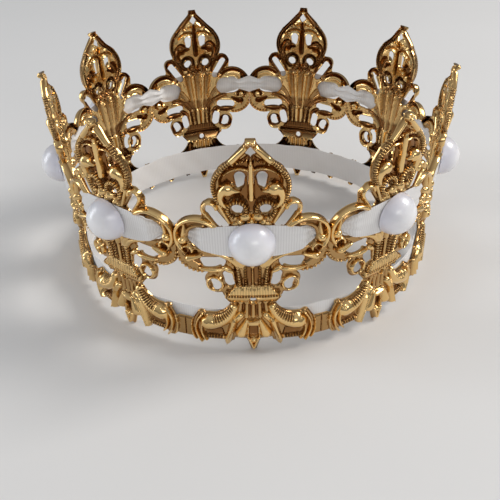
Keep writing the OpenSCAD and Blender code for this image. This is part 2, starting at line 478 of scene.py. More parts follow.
@dataclass(frozen=True)
class Die:
    """The stamping die of one plate: its outline, its piercings and its relief.

    Everything is drawn for the right half of the plate, in millimetres from the plate's axis
    and from the pendant's foot, and holds for the left half too.

    Attributes:
        ring: the ring that the plate is made for.
        fillet: size of the fillets between the outline's shapes.
        joint_gap: what is left free at each side of the plate.
        least_part: height from which a part's ribs count.
        hollow_end: height of relief at which the ground is no longer pressed back.
        seat_low, seat_high: lowest and highest relief under the ribbon and the pearl.
        seat_full: height of relief that is lowered to seat_high.
        seat_blend: width over which the relief is lowered.
        seat_slope: how steeply the relief may rise beside the ribbon.
        roll_drop, roll_width: how far the cut edges are rolled back, and how wide.
        stipple_depth, stipple_waves: height of the base band's stipple, and its waves each way.
        stipple_from, stipple_top, stipple_fade: where it starts and ends, and its soft edge.
    """

    ring: Ring
    fillet: float = 0.7
    joint_gap: float = 0.02
    least_part: float = 0.08
    hollow_end: float = 0.9
    seat_low: float = -0.55
    seat_high: float = 0.48
    seat_full: float = 0.95
    seat_blend: float = 1.2
    seat_slope: float = 2.0
    roll_drop: float = 0.35
    roll_width: float = 0.5
    stipple_depth: float = 0.07
    stipple_waves: tuple = (8.4, 7.3)
    stipple_from: float = 16.5
    stipple_top: float = 9.0
    stipple_fade: float = 0.5

    def outline(self) -> dict[str, Shape]:
        """Draws the plate's outline.

        Returns:
            The shapes that make it together, by name.
        """
        leaves = ((-1, 3.9), (1.7, 3.9), (5.4, 4.3), (6.6, 2.5), (7.6, 2.3), (8.1, 5), (7.8, 7.5), (5, 12.6))
        return {
            "tip": Patch(((-1.2, 64.0), (1.1, 64.0), (1.1, 65.8), (-1.2, 65.8)), 0.2),
            "pendant": Patch(((-1, 0.2), (0.6, 0.2), (1.6, 3.4), (1.4, 5), (-1, 5)), 0.2),
            "finial side": Disc(2.4, 53, 7.5),
            "finial": Patch(
                ((-1, 38), (5, 38), (5.2, 42.4), (7.7, 47.7), (7.7, 58.3), (1.2, 65), (-1, 65))
            ),
            "loop end": Disc(10.3, 47, 2.3),
            "loop": Patch(((5, 44), (6, 40), (12.2, 43.5), (12.4, 47), (10.3, 49.1), (7, 49.2)), 0.2),
            "upper wing": Disc(13.6, 37.5, 6.7),
            "lower wing": Disc(14, 32.4, 6.2),
            "fan": Patch(
                ((-1, 24.4), (4.6, 24.4), (8.4, 26.6), (14, 27.2), (14, 41), (8.5, 42.2), (-1, 44))
            ),
            "waist loop": Line(10.1, 24.0, 9.6, 22.3, 5.4, 5.4),
            "crossbar": Patch(
                ((-1, 20.6), (6, 20.4), (9, 20.3), (11.6, 24.6), (11, 27), (6, 28), (-1, 25))
            ),
            "cup": Patch(
                ((-1, 12), (4.9, 12), (4.9, 16.2), (6.3, 16.8), (8.1, 19.1), (8.1, 20.7), (-1, 20.7))
            ),
            "horn": Arc(13, 17.5, 8.3, 198, 262, 3.0, 6.0),
            "base band": Patch(((5.5, 3.1), (24, 2.9), (24, 9.3), (5.5, 9.3))),
            "collar": Arc(9, 7, 7.0, -36, 40, 2.4, 2.4),
            "leaves": Patch((*leaves, (-1, 12.4)), 0.2),
        }

    def piercings(self) -> dict[str, Shape]:
        """Draws the plate's openings.

        Returns:
            The shapes that are cut through it, by name.
        """
        return {
            "tip": Patch(((-1.3, 62.3), (0, 61.0), (1.3, 62.3), (0, 64.0))),
            "cup": Disc(0, 17.8, 0.9),
            "window": Line(2.75, 53.9, 2.75, 55.7, 2.1, 2.7),
            "eye": Disc(3.5, 46.9, 1.4),
            "loop": Line(10.3, 46.7, 6.9, 41.8, 2.2, 2.2),
            "ribbon": Line(10.4, 37.3, 13.4, 37.3, 6.3, 6.3),
            "lower wing": Line(8.3, 30.3, 12.6, 29.9, 2.7, 2.7),
            "waist loop": Line(10.1, 23.8, 9.6, 22.4, 2.5, 2.5),
            "waist side": Line(6.6, 26.0, 6.0, 23.4, 2.6, 2.6),
        }

    def finial(self) -> dict[str, Raise]:
        """Draws the relief of the pointed top.

        Returns:
            The raised parts by name.
        """
        return {
            "tip": Raise(Patch(((-1.4, 64.4), (1.4, 64.4), (1.4, 66), (-1.4, 66))), 0.7, 0.5),
            "tip knob": Raise(Disc(0.75, 65.1, 0.75), 1.4),
            "gable": Raise(Line(4.6, 60.4, 1.3, 63.6, 2.2, 1.6), 1.1),
            "upper rim": Raise(Line(7.1, 57.9, 4.9, 60.2, 1.5, 1.7), 1.25, ribs=0.72),
            "lower rim": Raise(Arc(2.4, 53, 6.75, -46, 45, 1.3, 1.5), 1.25, ribs=0.72),
            "arch": Raise(Arc(2.6, 53.4, 4.9, 40, 125, 0.9, 1.0), 0.7),
            "stem": Raise(Line(0, 50.2, 0, 59.4, 1.9, 1.6), 1.4),
            "stem head": Raise(Line(0, 58.6, 0, 60.6, 1.1, 0.9), 1.2),
            "leaf": Raise(Arc(4.2, 50.2, 3.2, -50, 60, 1.2, 3.4), 1.9),
            "leaf boss": Raise(Disc(5.6, 52.6, 2.1), 2.0),
            "leaf curl": Raise(Line(5.6, 52.7, 2.9, 52.3, 3.4, 1.2), 1.8),
            "eye": Raise(Arc(3.5, 46.9, 2.25, -75, 205, 1.5, 1.6), 1.4, ribs=0.72),
            "eye drop": Raise(Disc(1.6, 44.9, 1.6), 1.4),
            "middle bud": Raise(Line(0, 41.4, 0, 44.6, 2.2, 1.5, Taper.ENDS), 1.3),
            "side bud": Raise(Line(1.7, 41.6, 3.6, 44.2, 2.0, 1.7, Taper.ENDS), 1.0),
            "loop inside": Raise(Line(7.9, 48.2, 5.5, 43.0, 1.2, 1.0), 1.0),
            "loop end": Raise(Arc(10.3, 47, 1.7, -50, 175, 1.3, 1.3), 1.3),
            "loop outside": Raise(Line(11.5, 45.6, 8.2, 41.5, 1.3, 1.1), 1.05),
            **beads(Arc(0, 49.8, 10.4, 66, 84.5, 0.88, 0.88), 0.9),
        }

    def wing(self) -> dict[str, Raise]:
        """Draws the relief of a wing and of the flutes beside it.

        Returns:
            The raised parts by name.
        """
        to_waist = (24.0, 30.0)
        return {
            "upper scroll": Raise(Arc(13.6, 37.5, 5.9, -38, 142, 1.3, 1.7), 1.5),
            "spur": Raise(Line(17.0, 42.0, 17.6, 38.0, 0.7, 1.3), 1.0),
            "boss": Raise(Disc(17.75, 36.5, 1.4), 1.7),
            "curl": Raise(Arc(16.7, 33.4, 1.3, -50, 190, 0.8, 1.0), 1.0),
            "drop": Raise(Line(13.3, 32.0, 16.3, 31.0, 1.1, 2.5), 1.8),
            "lower leaf": Raise(Line(7.0, 28.0, 14.2, 28.0, 2.3, 2.2, Taper.ENDS), 1.4),
            "side leaf": Raise(Line(4.6, 26.9, 8.3, 29.6, 1.9, 1.9, Taper.ENDS), 1.2),
            "outer flute": Raise(Arc(11.6, 24.6, 9.1, 100, 176, 2.3, 1.5), 0.95, fade=to_waist),
            "third flute": Raise(Arc(13.4, 25.4, 11.3, 122, 174, 2.2, 1.5), 0.95, fade=to_waist),
            "second flute": Raise(Arc(16.5, 26.5, 13.4, 134, 170, 2.3, 1.5), 0.95),
            "first flute": Raise(Line(2.3, 29.2, 3.9, 42.0, 1.6, 2.8), 0.95),
            "middle flute": Raise(Line(0, 29.0, 0, 42.2, 1.8, 3.2), 0.95),
            **beads(Arc(14, 32.4, 5.7, -98, -6, 0.92, 0.92), 1.05),
        }

    def waist(self) -> dict[str, Raise]:
        """Draws the relief of the waist, the crossbar and the cup.

        Returns:
            The raised parts by name.
        """
        bar = Patch(((-1, 20.0), (6.9, 20.0), (4.8, 22.9), (-1, 22.9)))
        bar_foot = Patch(((-1, 19.1), (7.5, 19.1), (7.3, 20.5), (-1, 20.5)))
        cup = Patch(((-1, 16.4), (6.2, 16.6), (7.4, 19.0), (-1, 19.2)))
        return {
            "loop": Raise(Arc(9.85, 23.1, 2.05, -175, 175, 1.05, 1.05), 1.15),
            "outer rope": Raise(Line(3.3, 22.9, 3.8, 29.0, 1.2, 1.3), 1.1, ribs=0.85),
            "inner rope": Raise(Line(1.8, 22.9, 2.0, 29.4, 1.0, 1.0), 0.8, ribs=0.85),
            "side line": Raise(Line(4.6, 23.2, 5.2, 27.2, 0.8, 0.9), 0.7),
            "middle line": Raise(Line(0, 22.8, 0, 30, 0.9, 0.8), 0.7),
            "bar": Raise(bar, 2.0, 0.5, ribs=0.72, rib_depth=0.1, rib_share=0.45, fade=(25.0, 19.6)),
            "bar foot": Raise(bar_foot, 1.9, 0.5, ribs=0.72),
            "cup": Raise(cup, 1.2, 0.5, fade=(16.2, 19.6)),
            "cup side": Raise(Line(7.3, 18.6, 6.2, 16.9, 0.9, 0.7), 1.0, ribs=0.62),
            "hole rim": Raise(Arc(0, 17.8, 1.3, -179, 179, 0.55, 0.55), 0.9),
        }

    def base(self) -> dict[str, Raise]:
        """Draws the relief of the horns, the collars and the hanging leaves.

        Returns:
            The raised parts by name.
        """
        horn = Arc(13, 17.5, 8.3, 198, 260, 2.6, 5.2)
        pendant_bar = Patch(((-1, 9.0), (1.5, 9.0), (1.9, 10.6), (-1, 10.6)))
        return {
            "middle reed": Raise(Line(0, 12.0, 0, 16.2, 1.6, 1.4), 0.55),
            "inner reed": Raise(Line(1.9, 11.8, 1.7, 16.2, 1.6, 1.4), 0.55),
            "outer reed": Raise(Line(3.9, 12.0, 3.4, 16.2, 1.7, 1.4), 0.55),
            "horn": Raise(horn, 2.2, ribs=0.82, rib_depth=0.35, inner_ribs=True, rib_end=8.0),
            "horn bulb": Raise(Disc(12.4, 9.1, 2.45), 2.2),
            "inner collar": Raise(Arc(8.4, 7, 5.9, -40, 42, 0.9, 0.9), 1.5),
            "middle collar": Raise(Arc(8.4, 7, 7.4, -37, 40, 0.9, 0.9), 1.4),
            "outer collar": Raise(Arc(8.4, 7, 8.8, -30, 34, 0.7, 0.7), 1.0),
            "leaf shoulder": Raise(Line(3.5, 12.4, 5.4, 10.0, 2.6, 2.4), 1.5),
            "leaf": Raise(Line(5.2, 10.4, 7.3, 3.0, 2.3, 1.8), 1.6),
            "leaf ridge": Raise(Line(4.4, 11.6, 7.3, 3.1, 0.6, 0.6), 2.0),
            "petal": Raise(Line(1.9, 10.4, 3.4, 6.2, 1.5, 3.5), 1.8),
            "leaf tip": Raise(Disc(7.2, 2.9, 0.75), 1.0),
            "foot rope": Raise(Line(8.6, 4.1, 12.8, 3.9, 1.5, 1.5), 0.6, ribs=0.8),
            "pendant bar": Raise(pendant_bar, 1.2, 0.4),
            "pendant side": Raise(Line(1.3, 8.8, 1.6, 4.6, 0.7, 0.8), 0.8),
            "pendant point": Raise(Line(1.2, 4.3, 0, 1.0, 1.0, 1.0), 1.3),
            "pendant drop": Raise(Disc(0, 3.6, 0.95), 1.1),
        }

    def hollows(self) -> dict[str, Raise]:
        """Draws the parts of the ground that are pressed back.

        Returns:
            The parts by name, with depths as their heights.
        """
        top = ((-1, 46), (4, 46), (7.6, 51), (7.8, 55), (6.4, 58), (0, 62.6), (-1, 62.6))
        return {
            "finial": Raise(Patch(top), 0.6, 0.8),
            "upper wing": Raise(Arc(13.6, 37.5, 4.5, -30, 125, 1.6, 1.6), 0.5),
            "lower wing": Raise(Patch(((13.2, 28.0), (18.4, 31.4), (18.2, 34.6), (14.2, 33.4))), 0.5, 0.8),
            "waist": Raise(Patch(((-1, 22.9), (4.6, 22.9), (4.9, 29.0), (-1, 29.0))), 0.5, 0.6),
            "neck": Raise(Patch(((-1, 11.6), (4.7, 11.6), (4.6, 16.4), (-1, 16.4))), 0.5, 0.6),
            "pendant": Raise(Patch(((-1, 4.8), (1.4, 4.8), (1.5, 8.9), (-1, 8.9))), 0.6, 0.5),
            "foot": Raise(Patch(((7.6, 4.0), (13.4, 3.9), (13.6, 6.9), (8.6, 7.4))), 0.5, 0.8),
        }

    def seat(self) -> Patch:
        """Where the ribbon and the pearl lie on the plate."""
        return Patch(((-1, 32.2), (6, 32.6), (11.6, 34.2), (11.6, 40.8), (6, 42.2), (-1, 42.6)))

    def parts(self) -> list[Raise]:
        """All raised parts."""
        groups = (self.finial(), self.wing(), self.waist(), self.base())
        return [part for group in groups for part in group.values()]

    def stipple(self, across: np.ndarray, up: np.ndarray) -> np.ndarray:
        """Works out the fine pattern on the base band beside the collars.

        Args:
            across, up: the points.

        Returns:
            Heights of the pattern, nought elsewhere.
        """
        wave_across, wave_up = self.stipple_waves
        waves = self.stipple_depth * np.sin(across * wave_across) * np.sin(up * wave_up + across)
        beside = np.clip((across - self.stipple_from) / self.stipple_fade, 0, 1)
        return waves * beside * np.clip((self.stipple_top - up) / self.stipple_fade, 0, 1)

    def ribbing(self, across: np.ndarray, up: np.ndarray) -> tuple[np.ndarray, ...]:
        """Works out the plate's ribs, from the highest part at each point.

        Args:
            across, up: the points.

        Returns:
            How far the plate is ribbed at the points, and the count of ribs run there.
        """
        side = np.abs(across)
        top, ribbed, count = np.zeros((3, *np.shape(across)))
        for part in self.parts():
            height = part.relief(side, up)
            over = (height > top) & (height > self.least_part)
            top = np.maximum(top, height)
            share, run = part.ribbing(side, up) if part.ribs else (0 * side, 0 * side)
            ribbed = np.where(over, share, ribbed)
            count = np.where(over, run, count)
        return ribbed, count

    def inside(self, across: np.ndarray, up: np.ndarray) -> np.ndarray:
        """Measures points against the pierced plate.

        Args:
            across, up: the points.

        Returns:
            Depths inside the plate, negative outside.
        """
        side = np.abs(across)
        first, *others = self.outline().values()
        within = depth(first, side, up)
        for shape in others:
            within = merge(within, depth(shape, side, up), self.fillet)
        for hole in self.piercings().values():
            within = np.minimum(within, -depth(hole, side, up))
        return np.minimum(within, self.ring.half_plate(up) - self.joint_gap - side)

    def relief(self, across: np.ndarray, up: np.ndarray) -> np.ndarray:
        """Works out the stamped front.

        Args:
            across, up: the points.

        Returns:
            Heights above the flat sheet's face.
        """
        side = np.abs(across)
        height = highest(self.parts(), side, up)
        # Under the ribbon and the pearl the relief is lower, so that they lie on it.
        under = self.seat().inside(side, up)
        seated = np.clip(height / self.seat_full, 0, 1) * (self.seat_high - self.seat_low) + self.seat_low
        share = np.clip(under / self.seat_blend + 0.5, 0, 1)
        sunk = highest(list(self.hollows().values()), side, up)
        height = height - sunk * (1 - np.clip(height / self.hollow_end, 0, 1))
        height = height + (seated - height) * share + self.stipple(side, up)
        rolled = np.clip(self.inside(across, up) / self.roll_width, 0, 1)
        height = height - self.roll_drop * (1 - rolled) ** 2
        return np.minimum(height, self.seat_high + np.maximum(0, -under) * self.seat_slope)


class Nodes:
    """The node tree of a material or of the room, with short ways to fill it."""

    def __init__(self, owner: bpy.types.Material | bpy.types.World, shader: str) -> None:
        """Starts from the shader that a new tree has.

        Args:
            owner: the new material or world.
            shader: the shader node's name.
        """
        owner.use_nodes = True
        self.owner = owner
        self.tree = owner.node_tree
        self.shader = self.tree.nodes[shader]

    def node(self, kind: str, **settings: object) -> bpy.types.Node:
        """Adds a node.

        Args:
            kind: the node's type.
            settings: the node's attributes.

        Returns:
            The node.
        """
        made = self.tree.nodes.new(kind)
        for name, value in settings.items():
            setattr(made, name, value)
        return made

    def feed(self, socket: bpy.types.NodeSocket, value: object) -> None:
        """Gives an input its value.

        Args:
            socket: the input.
            value: another node's output, or a plain value.
        """
        if isinstance(value, bpy.types.NodeSocket):
            self.tree.links.new(value, socket)
        else:
            socket.default_value = value

    def surface(self, **values: object) -> None:
        """Feeds the shader's inputs, named with _ for each space."""
        for name, value in values.items():
            self.feed(self.shader.inputs[name.replace("_", " ")], value)

    def attribute(self, name: str) -> bpy.types.NodeSocket:
        """Reads a number that the mesh keeps for each vertex."""
        return self.node("ShaderNodeAttribute", attribute_name=name).outputs["Fac"]

    def noise(self, scale: float, detail: float) -> bpy.types.NodeSocket:
        """Adds a noise in the object's own coordinates.

        Args:
            scale: how fine the noise is.
            detail: how many finer noises it has in it.

        Returns:
            The noise, about 0.5 in the middle.
        """
        made = self.node("ShaderNodeTexNoise")
        self.feed(made.inputs["Vector"], self.node("ShaderNodeTexCoord").outputs["Object"])
        self.feed(made.inputs["Scale"], scale)
        self.feed(made.inputs["Detail"], detail)
        return made.outputs["Fac"]

    def ramp(self, value: bpy.types.NodeSocket, first: tuple, then: tuple) -> bpy.types.NodeSocket:
        """Turns one range of numbers into another.

        Args:
            value: the number.
            first: the range that it comes in.
            then: the range that it goes out in.

        Returns:
            The new number.
        """
        made = self.node("ShaderNodeMapRange")
        for name, number in zip(("From Min", "From Max", "To Min", "To Max"), first + then, strict=True):
            self.feed(made.inputs[name], number)
        self.feed(made.inputs["Value"], value)
        return made.outputs["Result"]

    def maths(self, operation: str, *values: object) -> bpy.types.NodeSocket:
        """Works out a number from others.

        Args:
            operation: what is done with them.
            values: other nodes' outputs or plain numbers, in order.

        Returns:
            The new number.
        """
        made = self.node("ShaderNodeMath", operation=operation)
        for socket, value in zip(made.inputs, values):
            self.feed(socket, value)
        return made.outputs["Value"]

    def mix(self, first: object, second: object, share: bpy.types.NodeSocket) -> bpy.types.NodeSocket:
        """Mixes two colours.

        Args:
            first, second: colours, or other mixes.
            share: the second colour's share.

        Returns:
            The mixed colour.
        """
        made = self.node("ShaderNodeMix", data_type="RGBA")
        colours = [socket for socket in made.inputs if socket.type == "RGBA"]
        self.feed(made.inputs[0], share)
        self.feed(colours[0], first)
        self.feed(colours[1], second)
        return next(socket for socket in made.outputs if socket.type == "RGBA")

    def bump(self, height: bpy.types.NodeSocket, distance: float, strength: float) -> bpy.types.NodeSocket:
        """Makes a bump.

        Args:
            height: the bump's height.
            distance: the height's size in metres.
            strength: how strong the bump is.

        Returns:
            The bent normal.
        """
        made = self.node("ShaderNodeBump")
        self.feed(made.inputs["Height"], height)
        self.feed(made.inputs["Distance"], distance)
        self.feed(made.inputs["Strength"], strength)
        return made.outputs["Normal"]


def material_nodes(name: str) -> Nodes:
    """Starts a material with its principled shader."""
    return Nodes(bpy.data.materials.new(name), "Principled BSDF")


@dataclass(frozen=True)
class Gilt:
    """Polished gilt brass, with painted shade in the recesses of the relief and between ribs."""

    name: str = "gilt_brass"
    high: tuple = (0.88, 0.60, 0.26, 1)
    low: tuple = (0.26, 0.12, 0.04, 1)
    rib_valley_shade: tuple = (0.20, 0.09, 0.03, 1)
    relief: tuple = (-0.55, 1.0)
    cloud_scale: float = 220
    cloud_range: tuple = (0.3, 0.7)
    roughness: tuple = (0.10, 0.22)
    grain_scale: float = 900
    grain_share: float = 0.12
    bump_m: float = 0.00012
    rib_shade_range: tuple = (0.2, 2.0)
    rib_shade_shares: tuple = (0.0, 0.9)

    def build(self) -> bpy.types.Material:
        """Makes the material.

        Returns:
            The material.
        """
        made = material_nodes(self.name)
        # Painted shade: the gilt turns from its own colour to the dark low colour where the relief value is
        # low, in recesses and hollows.
        tint = made.mix(self.low, self.high, made.ramp(made.attribute("relief"), self.relief, (0.0, 1.0)))
        ribbed = made.attribute("ribbed")
        turn = made.maths("MULTIPLY", made.attribute("rib_phase"), 2 * math.pi)
        ribs = made.maths("MULTIPLY", made.maths("COSINE", turn), ribbed)
        # Painted shade between the ribs: the gilt turns to the dark rib valley colour in the valleys of the
        # rib wave.
        between = made.ramp(made.maths("SUBTRACT", ribbed, ribs), self.rib_shade_range, self.rib_shade_shares)
        grain = made.maths("MULTIPLY_ADD", made.noise(self.grain_scale, detail=2), self.grain_share, ribs)
        made.surface(
            Base_Color=made.mix(tint, self.rib_valley_shade, between),
            Metallic=1.0,
            Roughness=made.ramp(made.noise(self.cloud_scale, detail=3), self.cloud_range, self.roughness),
            Normal=made.bump(grain, self.bump_m, strength=1.0),
        )
        return made.owner


@dataclass(frozen=True)
class Pearl:
    """White pearl lustre: a soft coat over a body that is warm at its crown, with painted shade that turns
    it darker and cooler towards its rim.
    """

    name: str = "pearl"
    face: tuple = (0.97, 0.955, 0.96, 1)
    rim: tuple = (0.78, 0.78, 0.87, 1)
    cloud_scale: float = 130
    cloud_share: float = 0.12
    glow_m: tuple = (0.002, 0.0018, 0.0016)

    def build(self) -> bpy.types.Material:
        """Makes the material.

        Returns:
            The material.
        """
        made = material_nodes(self.name)
        cloud = made.noise(self.cloud_scale, detail=2)
        # Painted shade: the body goes from its face colour to the darker, cooler rim colour towards its
        # edge.
        share = made.maths("MULTIPLY_ADD", cloud, self.cloud_share, made.attribute("rim"))
        made.surface(
            Base_Color=made.mix(self.face, self.rim, share),
            Roughness=0.3,
            Coat_Weight=1.0,
            Coat_Roughness=0.24,
            Sheen_Weight=0.15,
            Subsurface_Weight=0.12,
            Subsurface_Radius=self.glow_m,
        )
        return made.owner


@dataclass(frozen=True)
class Grosgrain:
    """White ribbed ribbon, with the ribs across its length and painted shade in the valleys between them."""

    name: str = "white_ribbon"
    crown: tuple = (0.90, 0.885, 0.87, 1)
    rib_valley_shade: tuple = (0.74, 0.715, 0.70, 1)
    handled: tuple = (0.80, 0.77, 0.73, 1)
    cloud_scale: float = 70
    cloud_range: tuple = (0.45, 0.8)
    handled_shares: tuple = (0.0, 0.5)
    weave_scale: float = 2600
    weave_m: float = 0.00004

    def build(self) -> bpy.types.Material:
        """Makes the material.

        Returns:
            The material.
        """
        made = material_nodes(self.name)
        # Painted shade: the ribbon's colour darkens in the valleys between ribs.
        tint = made.mix(self.rib_valley_shade, self.crown, made.attribute("rib"))
        worn = made.ramp(made.noise(self.cloud_scale, detail=4), self.cloud_range, self.handled_shares)
        made.surface(
            Base_Color=made.mix(tint, self.handled, worn),
            Roughness=0.62,
            Sheen_Weight=0.35,
            Sheen_Roughness=0.4,
            Normal=made.bump(made.noise(self.weave_scale, detail=2), self.weave_m, strength=0.5),
        )
        return made.owner


@dataclass(frozen=True)
class PaleFloor:
    """A pale matt table top."""

    name: str = "pale_floor"
    tone: tuple = (0.80, 0.79, 0.78, 1)
    fleck: tuple = (0.76, 0.75, 0.74, 1)
    fleck_scale: float = 9

    def build(self) -> bpy.types.Material:
        """Makes the material.

        Returns:
            The material.
        """
        made = material_nodes(self.name)
        tint = made.mix(self.fleck, self.tone, made.noise(self.fleck_scale, detail=4))
        made.surface(Base_Color=tint, Roughness=0.6)
        return made.owner


@dataclass
class StampedPlates:
    """The nine plates: one blank is trimmed and stamped, and then bent into each place.

    Attributes:
        ring: the ring that the plates stand in.
        die: what they are stamped with.
        wide, high: the blank's size, in millimetres.
        foot: how far the blank reaches below the pendant.
        grid: size of the blank's squares.
        metal: thickness of the stamped metal.
        overhang: share of a square by which the rough cut stays outside the outline.
        trim_step, trim_passes, least_slope: how the rough edge is moved onto the outline.
        soft, directions: reach over which the back is softer than the front, and ways it is felt.
        keep: share of the triangles that is kept.
        sharp: angle in degrees past which edges stay sharp.
        back_tone, back_slope: the back's painted shade value on the flat sheet, and how fast its hollows
            darken with painted shade.
    """

    ring: Ring
    die: Die
    wide: float = 41.2
    high: float = 66.6
    foot: float = 0.3
    grid: float = 0.17
    metal: float = 0.5
    overhang: float = 0.5
    trim_step: float = 0.02
    trim_passes: int = 3
    least_slope: float = 0.25
    soft: float = 0.22
    directions: int = 6
    keep: float = 0.46
    sharp: float = 42.0
    back_tone: float = 0.6
    back_slope: float = 1.7

    def blank(self) -> bpy.types.Object:
        """Adds the flat sheet, in millimetres, with its outline and piercings cut roughly.

        Returns:
            The sheet.
        """
        columns, rows = round(self.wide / self.grid), round(self.high / self.grid)
        deselect()
        bpy.ops.mesh.primitive_grid_add(x_subdivisions=columns, y_subdivisions=rows, size=1)
        obj = bpy.context.object
        points = get_points(obj.data)
        across = points[:, 0] * self.wide
        up = points[:, 1] * self.high + self.high / 2 - self.foot
        set_points(obj.data, np.stack([across, up, 0 * up], axis=-1))
        waste = self.die.inside(across, up) < -self.overhang * self.grid
        activate(obj)
        bpy.ops.object.mode_set(mode="EDIT")
        bpy.ops.mesh.select_mode(type="VERT")
        bpy.ops.mesh.select_all(action="DESELECT")
        bpy.ops.object.mode_set(mode="OBJECT")
        obj.data.vertices.foreach_set("select", waste)
        bpy.ops.object.mode_set(mode="EDIT")
        bpy.ops.mesh.delete(type="VERT")
        bpy.ops.mesh.select_all(action="SELECT")
        bpy.ops.mesh.delete_loose()
        bpy.ops.object.mode_set(mode="OBJECT")
        return obj

    def trim(self, mesh: bpy.types.Mesh) -> None:
        """Moves the blank's rough edge onto the die's outline.

        Args:
            mesh: the blank's mesh.
        """
        edge_of_loop = np.empty(len(mesh.loops), dtype=np.int64)
        mesh.loops.foreach_get("edge_index", edge_of_loop)
        ends = np.empty(len(mesh.edges) * 2, dtype=np.int64)
        mesh.edges.foreach_get("vertices", ends)
        single = np.bincount(edge_of_loop, minlength=len(mesh.edges)) == 1
        rim = np.unique(ends.reshape(-1, 2)[single])
        points = get_points(mesh)
        across, up = points[rim, 0], points[rim, 1]
        step = self.trim_step
        inside = self.die.inside
        for _ in range(self.trim_passes):
            slope_x = (inside(across + step, up) - inside(across - step, up)) / (2 * step)
            slope_y = (inside(across, up + step) - inside(across, up - step)) / (2 * step)
            size = np.maximum(slope_x * slope_x + slope_y * slope_y, self.least_slope)
            move = np.clip(inside(across, up) / size, -self.grid, self.grid)
            across, up = across - move * slope_x, up - move * slope_y
        points[rim, 0], points[rim, 1] = across, up
        set_points(mesh, points)

    def stamp(self, obj: bpy.types.Object) -> None:
        """Raises the relief on the front and leaves the back hollow behind it.

        Args:
            obj: the trimmed blank.
        """
        across, up, _ = get_points(obj.data).T
        front = self.die.relief(across, up)
        turns = np.arange(self.directions) * 2 * math.pi / self.directions
        around = [(self.soft * math.cos(turn), self.soft * math.sin(turn)) for turn in turns]
        softer = np.mean([self.die.relief(across + x, up + y) for x, y in around] + [front], axis=0)
        back = np.minimum(front, softer) - self.metal
        apply_modifier(obj, "SOLIDIFY", thickness=self.metal, offset=-1.0)
        sides = [np.stack([across, up, height], axis=-1) for height in (front, back)]
        set_points(obj.data, np.concatenate(sides))

    def tone(self, flat: np.ndarray) -> np.ndarray:
        """Works out how far points stand out, as seen from their own side of the plate; the gilt paints
        shade where this is low.

        Args:
            flat: the stamped plate's points before it is bent.

        Returns:
            A height for each point, in millimetres.
        """
        out = flat[:, 2]
        front = out > self.die.relief(flat[:, 0], flat[:, 1]) - self.metal / 2
        return np.where(front, out, self.back_tone - self.back_slope * (out + self.metal))

    def build(self, material: bpy.types.Material) -> None:
        """Makes the nine plates and dresses them.

        Args:
            material: the plates' finish.
        """
        master = self.blank()
        self.trim(master.data)
        self.stamp(master)
        apply_modifier(master, "DECIMATE", ratio=self.keep)
        apply_modifier(master, "TRIANGULATE")
        flat = get_points(master.data)
        ribbed, count = self.die.ribbing(flat[:, 0], flat[:, 1])
        # Painted shade: these values darken the gilt in recesses on the front and hollows on the back; the
        # rib marks also set the painted shade between ribs.
        mark(master.data, "relief", self.tone(flat))
        mark(master.data, "ribbed", ribbed)
        mark(master.data, "rib_phase", count)
        for i, node in enumerate(self.ring.nodes("plate")):
            obj = add_copy(master, f"stamped_plate_{i + 1}", self.ring.wrap(flat, i), self.sharp)
            dress(obj, material, node)
        bpy.data.objects.remove(master)


